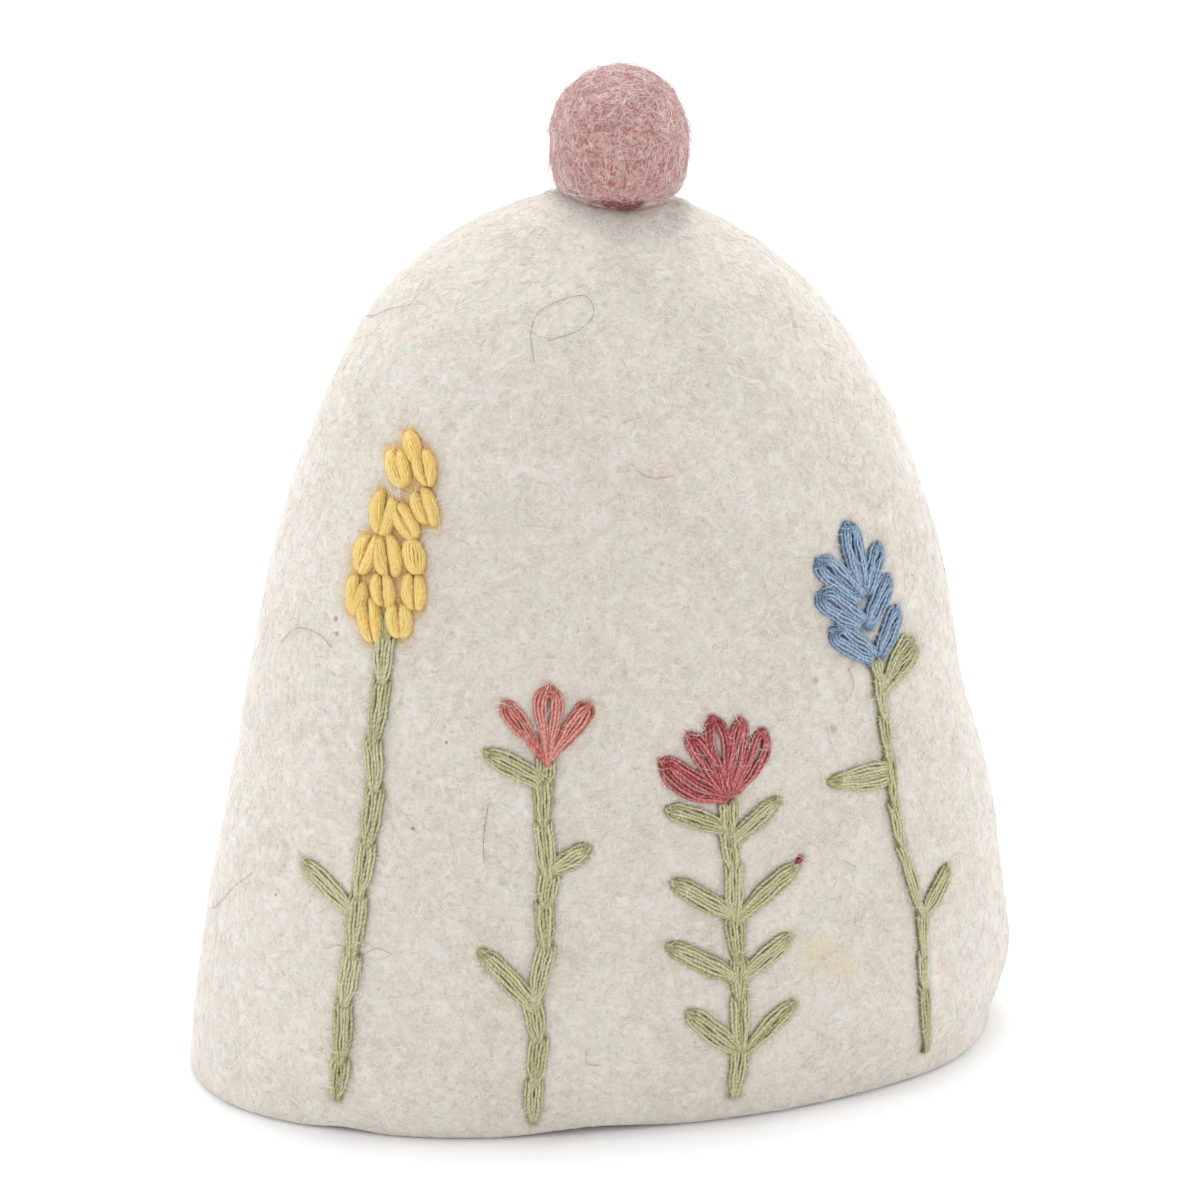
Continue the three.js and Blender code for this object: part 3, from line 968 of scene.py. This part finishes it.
LEAVES = (
    # base, tip, strands to a leg, spacing, foot, sharp, bow, share at which it is widest
    ((-30.0, 25.0), (-34.5, 29.5), 3, 0.38, 0.6, 12.0, 0.0, 0.45),
    ((-10.5, 39.5), (-16.5, 43.0), 3, 0.38, 0.7, 12.0, 0.1, 0.45),
    ((-10.5, 30.0), (-6.5, 32.5), 3, 0.38, 0.5, 12.0, 0.0, 0.5),
    ((-12.0, 15.0), (-17.5, 21.5), 3, 0.38, 0.6, 12.0, 0.15, 0.45),
    ((8.5, 33.0), (2.0, 36.0), 3, 0.37, 0.5, 12.0, 0.1, 0.5),
    ((8.5, 31.5), (14.0, 35.5), 3, 0.35, 0.7, 12.0, 0.0, 0.45),
    ((9.0, 23.5), (2.5, 28.0), 3, 0.38, 0.5, 12.0, 0.1, 0.45),
    ((9.0, 23.0), (16.0, 28.0), 3, 0.40, 0.4, 12.0, -0.2, 0.5),
    ((9.5, 16.5), (2.0, 21.0), 3, 0.38, 0.5, 12.0, 0.1, 0.45),
    ((9.5, 16.5), (15.0, 20.5), 3, 0.38, 0.5, 12.0, 0.0, 0.5),
    ((9.5, 8.5), (4.0, 13.5), 3, 0.40, 0.5, 12.0, 0.0, 0.45),
    ((10.0, 8.5), (15.5, 13.0), 3, 0.38, 0.5, 12.0, -0.1, 0.5),
    ((26.0, 44.5), (30.5, 49.0), 5, 0.42, 0.2, 30.0, 0.0, 0.8),
    ((27.0, 36.0), (20.0, 36.5), 4, 0.37, 0.9, 2.5, 0.0, 0.45),
    ((31.0, 19.0), (34.5, 23.5), 3, 0.42, 0.5, 8.0, 0.2, 0.5),
)
strands = [strand for stem in STEM_JOINTS for strand in chain(*stem)]
sew("green_stems", "green_thread", green, GREEN_GAP_SHADE, strands)
strands = []
for base, tip, per_leg, gap, foot, sharp, bow, full in LEAVES:
    strands += loop(base, tip, per_leg, gap, foot=foot, sharp=sharp, bow=bow, bunch=0.1, full=full)
    strands += tie(base, tip)
sew("green_leaves", "green_thread", green, GREEN_GAP_SHADE, strands)


# --- The yellow spike --------------------------------------------------------------------------------
# Fourteen fat little grains up the top of the left stem. A grain is two padded straight stitches of
# cotton side by side, drawn down into the same holes or crossing a little.

GRAIN_STRAND = 0.36
GRAINS = (
    # foot, top, width, stitches, and how far those stand apart at the foot and at the top
    ((-22.0, 72.0), (-22.5, 75.0), 2.0, 1, 0.0, 0.0),
    ((-23.5, 69.5), (-24.0, 73.0), 3.0, 2, 0.2, 0.9),
    ((-21.0, 70.0), (-21.5, 73.5), 2.3, 2, 0.1, 0.4),
    ((-26.0, 64.5), (-25.0, 68.5), 2.7, 2, 0.1, 0.7),
    ((-21.0, 66.0), (-22.0, 69.5), 2.7, 2, 0.4, 1.0),
    ((-22.5, 64.5), (-24.0, 67.5), 2.5, 2, 0.3, 0.3),
    ((-28.0, 60.5), (-26.5, 64.5), 2.5, 2, 0.2, 0.3),
    ((-25.0, 60.5), (-25.5, 64.5), 3.0, 2, 0.8, 0.3),
    ((-22.5, 61.0), (-23.0, 64.5), 2.5, 1, 0.0, 0.0),
    ((-29.0, 56.5), (-28.0, 60.0), 2.5, 2, 0.1, 0.7),
    ((-26.0, 57.5), (-26.0, 61.0), 2.5, 2, 0.5, 0.2),
    ((-23.0, 57.5), (-23.0, 61.0), 2.4, 2, 0.1, 0.7),
    ((-27.0, 54.0), (-27.5, 58.0), 2.5, 2, 0.2, 0.5),
    ((-24.5, 54.5), (-24.5, 58.0), 2.6, 2, 0.2, 0.8),
)
yellow = cotton(
    "yellow_cotton", tint(240, 221, 148), tint(234, 206, 122), tint(222, 172, 82), tint(216, 168, 84)
)
# painted shade on the felt in the gaps under the yellow stitches
YELLOW_GAP_SHADE = tint(220, 184, 126)


def grain(foot, top, width, stitches, foot_gap, top_gap):
    """A grain is one padded stitch, or two side by side, each a little wider than half the grain."""
    if stitches == 1:
        return lobe(foot, top, strands=9, half=(width - GRAIN_STRAND) / 2.0, puff=0.8)
    foot, top = np.array(foot), np.array(top)
    sideways = np.array([top[1] - foot[1], foot[0] - top[0]]) / length(top - foot)
    made = []
    for side in (-1.0, 1.0):
        low = foot + sideways * side * foot_gap / 2.0 + random.uniform(-0.2, 0.2, 2)
        high = top + sideways * side * top_gap / 2.0 + random.uniform(-0.3, 0.3, 2)
        bow = side * max(width * 0.23 - (foot_gap + top_gap) / 4.0, 0.1)
        half = width * random.uniform(0.2, 0.25)
        made += lobe(low, high, strands=8, half=half, puff=random.uniform(0.5, 0.75), bow=bow)
    return made


strands = [strand for row in GRAINS for strand in grain(*row)]
sew("yellow_spike", "yellow_thread", yellow, YELLOW_GAP_SHADE, strands, GRAIN_STRAND)


# --- The coral flower --------------------------------------------------------------------------------
# Three petals of coral cotton fanned from the top of the second stem. The outer two are filled, and the
# felt shows through a narrow slit in the middle one.

coral = cotton(
    "coral_cotton", tint(234, 174, 164), tint(204, 122, 110), tint(134, 48, 36), tint(160, 84, 64)
)
# painted shade on the felt in the gaps under the coral stitches
CORAL_GAP_SHADE = tint(192, 136, 122)
PETAL_STRAND = 0.41
CORAL_PETALS = (
    # base, tip, strands to a leg, spacing, slit, where it opens, sharp
    ((-10.5, 42.0), (-14.5, 48.0), 3, 0.35, 0.0, 0.5, 26.0),
    ((-10.5, 42.0), (-6.0, 47.5), 3, 0.40, 0.0, 0.5, 22.0),
    ((-10.5, 41.5), (-10.0, 49.5), 4, 0.37, 0.4, 0.45, 14.0),
)
strands = []
for base, tip, per_leg, gap, hole, opens, sharp in CORAL_PETALS:
    strands += loop(
        base, tip, per_leg, gap, foot=0.2, sharp=sharp, bunch=0.05, hole=hole, opens=opens, puff=0.4,
        rise=0.4, full=0.8,
    )
    strands += tie(base, tip)
sew("coral_flower", "coral_thread", coral, CORAL_GAP_SHADE, strands, PETAL_STRAND)


# --- The raspberry flower ----------------------------------------------------------------------------
# Five petals of raspberry cotton fanned from the top of the third stem, so crowded that each lies partly
# on its neighbour. The lowest on the left is nearly flat. One small stitch is at a leaf's tip.

raspberry = cotton(
    "raspberry_cotton", tint(226, 144, 144), tint(176, 76, 78), tint(78, 6, 8), tint(126, 40, 36)
)
# painted shade on the felt in the gaps under the raspberry stitches
RASPBERRY_GAP_SHADE = tint(160, 100, 94)
PETALS = (
    # base, tip, strands to a leg, spacing, slit, where it opens, bow
    ((8.0, 37.0), (4.5, 43.5), 3, 0.40, 0.1, 0.5, 0.2),
    ((8.5, 37.0), (10.0, 44.5), 3, 0.36, 0.1, 0.5, 0.0),
    ((8.5, 37.0), (7.0, 45.0), 3, 0.40, 0.5, 0.4, 0.0),
    ((9.0, 37.0), (12.5, 43.0), 3, 0.38, 0.4, 0.4, 0.5),
    ((8.5, 36.5), (1.5, 41.0), 4, 0.39, 0.0, 0.5, -0.6),
)
strands = lobe((15.8, 28.0), (16.6, 28.8), strands=2, half=0.12, puff=0.35)
for base, tip, per_leg, gap, hole, opens, bow in PETALS:
    strands += loop(
        base, tip, per_leg, gap, foot=0.3, sharp=16.0, bunch=0.1, hole=hole, opens=opens, puff=0.42,
        bow=bow, rise=0.4,
    )
    strands += tie(base, tip)
sew("raspberry_flower", "raspberry_thread", raspberry, RASPBERRY_GAP_SHADE, strands, PETAL_STRAND)


# --- The blue spike ----------------------------------------------------------------------------------
# Seven plump loops of blue cotton, one at the top and three down each side, like the florets of a
# lavender head.

blue = cotton(
    "blue_cotton", tint(176, 198, 218), tint(124, 150, 180), tint(40, 62, 88), tint(84, 104, 130)
)
# painted shade on the felt in the gaps under the blue stitches
BLUE_GAP_SHADE = tint(128, 138, 148)
FLORETS = (
    # base, tip, strand spacing, slit
    ((24.0, 56.5), (22.5, 63.0), 0.36, 0.4),
    ((24.5, 55.5), (26.5, 60.0), 0.30, 0.5),
    ((24.0, 55.0), (19.0, 60.0), 0.34, 0.4),
    ((24.5, 52.0), (27.5, 56.5), 0.34, 0.3),
    ((24.0, 52.5), (19.0, 56.5), 0.36, 0.4),
    ((25.5, 48.5), (20.5, 52.5), 0.36, 0.4),
    ((26.0, 48.5), (28.5, 53.0), 0.34, 0.4),
)
strands = []
for base, tip, gap, hole in FLORETS:
    strands += loop(
        base, tip, 4, gap, foot=0.6, sharp=14.0, bunch=0.2, hole=hole, puff=0.45, rise=0.2
    )
    strands += tie(base, tip)
sew("blue_spike", "blue_thread", blue, BLUE_GAP_SHADE, strands, PETAL_STRAND)


# --- Where the thread pulls the felt in --------------------------------------------------------------
# The soft wall gives under every stitch and dimples at every needle hole. The felt beneath the stitches,
# seen in the gaps between strands, gets painted shade in the thread's colour, and the felt round each
# needle hole gets brown grime and painted shade.

PRINT_STEP = 0.25
PRESS = 0.12
DIMPLE = 0.2
BRIM = 0.12  # the felt swells beside a stitch by this much
GAP_SHADE_BLUR = 0.6
columns_x = np.arange(-48.0, 48.0, PRINT_STEP)
rows_z = np.arange(-2.0, 98.0, PRINT_STEP)


def spread(marks, width, weights=None):
    """A map of the front with each mark, or its weight, blurred to a bell of this width: one pass along
    and one up."""
    edges_x = np.append(columns_x, columns_x[-1] + PRINT_STEP)
    edges_z = np.append(rows_z, rows_z[-1] + PRINT_STEP)
    seen, _, _ = np.histogram2d(marks[:, 0], marks[:, 1], bins=(edges_x, edges_z), weights=weights)
    reach = np.arange(-int(4 * width / PRINT_STEP), int(4 * width / PRINT_STEP) + 1) * PRINT_STEP
    bell = np.exp(-((reach / width) ** 2) / 2.0)
    bell = bell / bell.sum()
    for axis in (0, 1):
        seen = np.apply_along_axis(np.convolve, axis, seen, bell, "same")
    return seen


def read_map(values, points):
    """The map's value at each point's x and height, blended between its four nearest cells."""
    place_x = np.clip((points[:, 0] - columns_x[0]) / PRINT_STEP - 0.5, 0, len(columns_x) - 1.001)
    place_z = np.clip((points[:, 2] - rows_z[0]) / PRINT_STEP - 0.5, 0, len(rows_z) - 1.001)
    i, j = place_x.astype(int), place_z.astype(int)
    s, t = place_x - i, place_z - j
    low = values[i, j] * (1 - s) + values[i + 1, j] * s
    high = values[i, j + 1] * (1 - s) + values[i + 1, j + 1] * s
    return low * (1 - t) + high * t


def touched(marks, width, strength):
    """How far the felt near the marks is touched: 1 - exp(-strength·the marks' blur)."""
    return 1.0 - np.exp(-spread(marks, width) * strength)


all_marks = np.concatenate([path[:, :2] for path in sewn])
all_gap_shades = np.concatenate([np.tile(gap_shade, (len(path), 1)) for path, gap_shade in zip(sewn, sewn_gap_shades)])
hole_marks = np.concatenate([path[[0, -1], :2] for path in sewn])
print_map = touched(all_marks, 0.35, 1.0)
brim_map = touched(all_marks, 0.9, 1.5)
# grime and painted shade round the needle holes
hole_grime_and_shade_map = touched(hole_marks, 0.7, 5.0)
hole_map = touched(hole_marks, 0.5, 4.0)
# where thread covers the felt, which there takes painted shade in the thread's colour
gap_shade_map = smooth(spread(all_marks, 0.25), 0.4, 1.5)
gap_shade_weights = spread(all_marks, GAP_SHADE_BLUR)

count = len(bag.data.vertices)
points = np.empty(count * 3, np.float32)
normals = np.empty(count * 3, np.float32)
bag.data.vertices.foreach_get("co", points)
bag.data.vertices.foreach_get("normal", normals)
points, normals = points.reshape(-1, 3).astype(float) / MM, normals.reshape(-1, 3)
outer = (points[:, 1] < 0.0) & (normals[:, 1] < 0.0)
pushed = PRESS * read_map(print_map, points) + DIMPLE * read_map(hole_map, points)
pushed = np.where(outer, pushed - BRIM * read_map(brim_map, points), 0.0)
# painted shade in the thread's colour under the stitches, and grime and painted shade round the holes
covered = np.where(outer, read_map(gap_shade_map, points), 0.0)
hole_grime_and_shade_share = np.where(outer, read_map(hole_grime_and_shade_map, points), 0.0)
gap_shade_maps = [spread(all_marks, GAP_SHADE_BLUR, all_gap_shades[:, n]) / np.maximum(gap_shade_weights, 1e-6) for n in range(3)]
gap_shade = np.stack([read_map(values, points) for values in gap_shade_maps] + [np.ones(count)], axis=-1)
points = points - normals * pushed[:, None]
bag.data.vertices.foreach_set("co", (points * MM).astype(np.float32).ravel())
for name, values in (("thread_gap_shade_share", covered), ("hole_grime_and_shade", hole_grime_and_shade_share)):
    bag.data.attributes.new(name, "FLOAT", "POINT").data.foreach_set("value", values.astype(np.float32))
gap_shade_values = gap_shade.astype(np.float32).ravel()
bag.data.attributes.new("thread_gap_shade_color", "FLOAT_COLOR", "POINT").data.foreach_set("color", gap_shade_values)
bag.data.update()


# --- Loose wool --------------------------------------------------------------------------------------
# Felting never catches every fibre. Fine curled ends lie over the bag and the ball, and some stand a
# little way off, which softens both outlines.

def curl(rng, count, shortest, longest, bend):
    """Local paths of fibres, along and across in millimetres: the heading turns steadily, by up to `bend`
    radians over the fibre, from a random start."""
    far = rng.uniform(shortest, longest, count)
    start = rng.uniform(0.0, 2.0 * np.pi, count)
    turn = rng.normal(0.0, bend, count)
    share = np.linspace(-0.5, 0.5, FIBRE_POINTS)
    heading = start[:, None] + turn[:, None] * share + rng.normal(0.0, 0.25, (count, 1)) * share**2
    step = far[:, None] / (FIBRE_POINTS - 1)
    along = np.cumsum(np.cos(heading) * step, axis=1)
    across = np.cumsum(np.sin(heading) * step, axis=1)
    return along - along.mean(axis=1, keepdims=True), across - across.mean(axis=1, keepdims=True)


def fibre_lift(rng, count, low, high, free_share, free):
    """How far each point of each fibre stands off: lying fibres arch a little, and a share of them have
    one end free that stands further out."""
    share = np.linspace(0.0, 1.0, FIBRE_POINTS)
    arch = np.sin(np.pi * share)
    lift = rng.uniform(low, high, (count, 1)) * (0.2 + 0.8 * arch) - 0.05
    loose = (rng.uniform(0.0, 1.0, (count, 1)) < free_share) * rng.uniform(0.3, 1.0, (count, 1)) * free
    return lift + loose * share**1.6


def loose_wool(paint_name, pale, middle, root=None):
    """Single wool fibres, each with its own tone, and with the sewing's red-brown and painted shadow
    where the ball is sewn down.
    """
    paint = Paint(paint_name, **FIBRE_SHINE, Sheen_Weight=0.7, Roughness=0.85)
    color = paint.mix(paint.attribute("tone") + (paint.noise(1.5, 1.0) - 0.5) * 0.6, middle, pale)
    if root:
        # the sewing's red-brown and painted shadow on the fibres at the foot
        color = paint.mix(seam_and_shadow(paint) * 0.9, color, root)
    return paint.finish(color, paint.noise(0.1, 0.0) * 0.01, 0.3)


WOOL_TRIES = 6  # places drawn for each fibre that is made
WOOL_KEPT_OFF = 0.96  # the share of fibres that don't start on thread
WOOL_OVER_THREAD = 1.1  # how far the others are lifted where they lie over it
WOOL_NARROWEST = 3.0  # the least distance from the bag's axis that a fibre turns round


def bag_wool(seed, count, part):
    """Fibres strewn evenly over one part of the bag: places are drawn with a chance that follows the area
    of felt that each stands for. Fewer start where thread covers the felt, and they lie over it."""
    rng = np.random.default_rng(seed)
    tries = count * WOOL_TRIES
    turn = rng.uniform(part[0], part[1], tries)
    run = rng.uniform(0.6, FULL_RUN - 1.0, tries)
    nudge = 1e-3
    here, _ = skin(turn, run)
    wide = length(skin(turn + nudge, run)[0] - here) / nudge
    covered = np.where(here[:, 1] < 0.0, read_map(print_map, here), 0.0)
    chance = wide * (1.0 - WOOL_KEPT_OFF * np.clip(covered * 1.5, 0.0, 1.0))
    chosen = rng.choice(tries, count, replace=False, p=chance / chance.sum())
    turn, run, wide = turn[chosen, None], run[chosen, None], wide[chosen, None]
    wide = np.maximum(wide, WOOL_NARROWEST)
    along, across = curl(rng, count, shortest=1.0, longest=3.6, bend=1.3)
    lift = fibre_lift(rng, count, low=0.01, high=0.14, free_share=0.15, free=0.8)
    turn, run = turn + along / wide, np.clip(run + across, 0.4, FULL_RUN - 0.3)
    there = skin(turn, run)[0]
    over = read_map(print_map, there.reshape(-1, 3)).reshape(turn.shape)
    return skin(turn, run, lift + np.where(there[..., 1] < 0.0, WOOL_OVER_THREAD * over, 0.0))[0]


def strew(name, middles, rng, thick, tones, finish, slot):
    """Makes fibres along these lines one piece, with a random thickness and tone for each."""
    points, faces, per = fibre_mesh(middles, rng.uniform(*thick, len(middles)))
    tone = np.repeat(rng.uniform(*tones, len(middles)), per)
    new_piece(name, points, faces, finish, slot, {"tone": tone}, 0)


cream_fibres = loose_wool("cream_fibres", tint(244, 242, 237), tint(222, 216, 206))
CREAM_THICK = (0.012, 0.024)
for name, seed, count, part in (
    ("bag_wool_front_left", 31, 12800, (np.pi, 1.5 * np.pi)),
    ("bag_wool_front_right", 32, 12800, (1.5 * np.pi, 2.0 * np.pi)),
    ("bag_wool_back", 33, 8500, (0.0, np.pi)),
):
    rng = np.random.default_rng(seed + 100)
    strew(name, bag_wool(seed, count, part), rng, CREAM_THICK, (0.0, 1.0), cream_fibres, "cream_felt")

rose_fibres = loose_wool("rose_fibres", tint(250, 238, 235), tint(180, 118, 112), SEAM_RED_AND_SHADOW)
BALL_FIBRES = 5400
rng = np.random.default_rng(41)
start = unit(rng.normal(0.0, 1.0, (BALL_FIBRES, 3)) + (0.0, 0.0, 0.25))
side = unit(np.cross(start, (0.3, 0.2, 0.93)))
up = np.cross(start, side)
along, across = curl(rng, BALL_FIBRES, shortest=1.4, longest=4.4, bend=2.0)
step = along[..., None] * side[:, None] + across[..., None] * up[:, None]
away = unit(start[:, None] + step / BALL_RADIUS)
lift = fibre_lift(rng, BALL_FIBRES, low=0.02, high=0.2, free_share=0.2, free=0.7)
middles = ball_skin(away, lift)
strew("ball_wool", middles, rng, (0.014, 0.026), (0.0, 1.0), rose_fibres, "rose_felt")

# Cream fibres have crept up round the ball's foot, except where its sewing and painted shadow show in
# front.
FOOT_FIBRES = 500
rng = np.random.default_rng(51)
round_at = rng.uniform(-0.3 * np.pi, 1.25 * np.pi, (FOOT_FIBRES, 1))
below = np.radians(rng.uniform(25.0, 45.0, (FOOT_FIBRES, 1)))
along, across = curl(rng, FOOT_FIBRES, shortest=0.8, longest=2.4, bend=1.0)
round_at, below = round_at + along / BALL_RADIUS, below + across / BALL_RADIUS
flat = np.cos(below)
away = np.stack([flat * np.cos(round_at), flat * np.sin(round_at), -np.sin(below)], axis=-1)
lift = fibre_lift(rng, FOOT_FIBRES, low=0.02, high=0.3, free_share=0.3, free=0.5)
on_ball = ball_skin(away, lift)
CROWN_FIBRES = 1300
round_at = rng.uniform(0.0, 2.0 * np.pi, (CROWN_FIBRES, 1))
out_at = rng.uniform(5.8, 7.8, (CROWN_FIBRES, 1))
along, across = curl(rng, CROWN_FIBRES, shortest=0.8, longest=2.4, bend=1.3)
x = BALL_AT[0] + out_at * np.cos(round_at) + along
y = out_at * np.sin(round_at) + across
lift = fibre_lift(rng, CROWN_FIBRES, low=0.1, high=0.5, free_share=0.2, free=0.5)
on_crown = np.stack([x, y, crown_height(x, y) + lift], axis=-1)

# A small tuft stands between two of the yellow grains.
TUFT_AT = (-24.0, 68.0)
TUFT_FIBRES = 40
TUFT_SHARE = (0.0, 0.3, 0.7, 1.0)  # how far each point of a fibre is along it
TUFT_LIFT = (0.6, 1.0, 1.1, 1.0)
x = TUFT_AT[0] + rng.normal(0.0, 0.25, (TUFT_FIBRES, 1))
x = x + rng.normal(0.0, 0.4, (TUFT_FIBRES, 1)) * TUFT_SHARE
z = TUFT_AT[1] + rng.uniform(0.0, 0.5, (TUFT_FIBRES, 1))
z = z + rng.uniform(0.8, 2.0, (TUFT_FIBRES, 1)) * TUFT_SHARE
tuft = front(x, z, rng.uniform(0.4, 0.9, (TUFT_FIBRES, 1)) * TUFT_LIFT)[0]
middles = np.concatenate([on_ball, on_crown, tuft])
strew("foot_wool", middles, rng, CREAM_THICK, (0.3, 1.0), cream_fibres, "cream_felt")


# --- Stray hairs -------------------------------------------------------------------------------------
# A few coarse hairs from the fleece and the odd dyed fibre were felted in with the wool. They lie loose
# on the surface in curls.

HAIR_SIDES = 4
HAIR_STEPS = 12  # steps along a hair for each of its points
HAIR_LIFT = 0.12
HAIRS = (
    # thickness, tone from dark brown at 0 to red at 1, and points over the front
    (0.024, 0.1, ((-10.0, 82.0), (-10.0, 85.0), (-8.5, 87.0), (-4.5, 88.0), (-3.5, 86.5), (-5.0, 85.0),
                  (-8.5, 84.0))),
    (0.024, 0.0, ((-25.0, 84.0), (-23.0, 85.5), (-21.0, 86.5))),
    (0.024, 0.0, ((-16.5, 37.5), (-17.0, 34.0), (-17.0, 31.0))),
    (0.024, 0.5, ((-35.5, 51.5), (-34.0, 53.5), (-32.0, 53.5), (-31.0, 52.5))),
    (0.024, 0.9, ((-43.0, 20.0), (-41.5, 24.0), (-39.5, 27.0))),
    (0.024, 1.0, ((-33.0, 21.0), (-31.5, 21.5), (-30.0, 20.5), (-28.0, 21.5), (-26.5, 21.0))),
    (0.024, 0.8, ((22.5, 48.0), (23.0, 46.0), (22.0, 44.5))),
    (0.024, 1.0, ((21.5, 27.5), (23.0, 26.5))),
    (0.024, 1.0, ((-7.0, 10.5), (-7.0, 9.0), (-5.5, 8.5))),
    (0.020, 0.9, ((-1.5, 76.0), (0.5, 76.5))),
    (0.024, 0.9, ((-1.0, 72.0), (1.0, 70.5), (3.5, 70.5))),
)
paint = Paint("stray_hair", Specular_IOR_Level=0.3, Roughness=0.5)
shade = paint.mix(paint.step(paint.attribute("tone"), 0.2, 0.8), tint(96, 84, 74), tint(190, 96, 88))
shade = paint.mix(paint.noise(0.8, 1.0) * 0.5, shade, tint(206, 190, 176))
stray = paint.finish(shade, paint.noise(0.1, 0.0) * 0.01, 0.3)
angle = np.arange(HAIR_SIDES) * 2.0 * np.pi / HAIR_SIDES
parts, tones = [], []
for thick, tone, guide in HAIRS:
    path = smooth_path(guide, HAIR_STEPS * len(guide))
    middle, out = front(path[:, 0], path[:, 1], HAIR_LIFT)
    parts.append(tube(middle, out, thick, angle, thick))
    tones.append(np.full(len(parts[-1][0]), tone))
tones = {"tone": np.concatenate(tones)}
new_piece("stray_hairs", *join_parts(parts), stray, "cream_felt", tones)
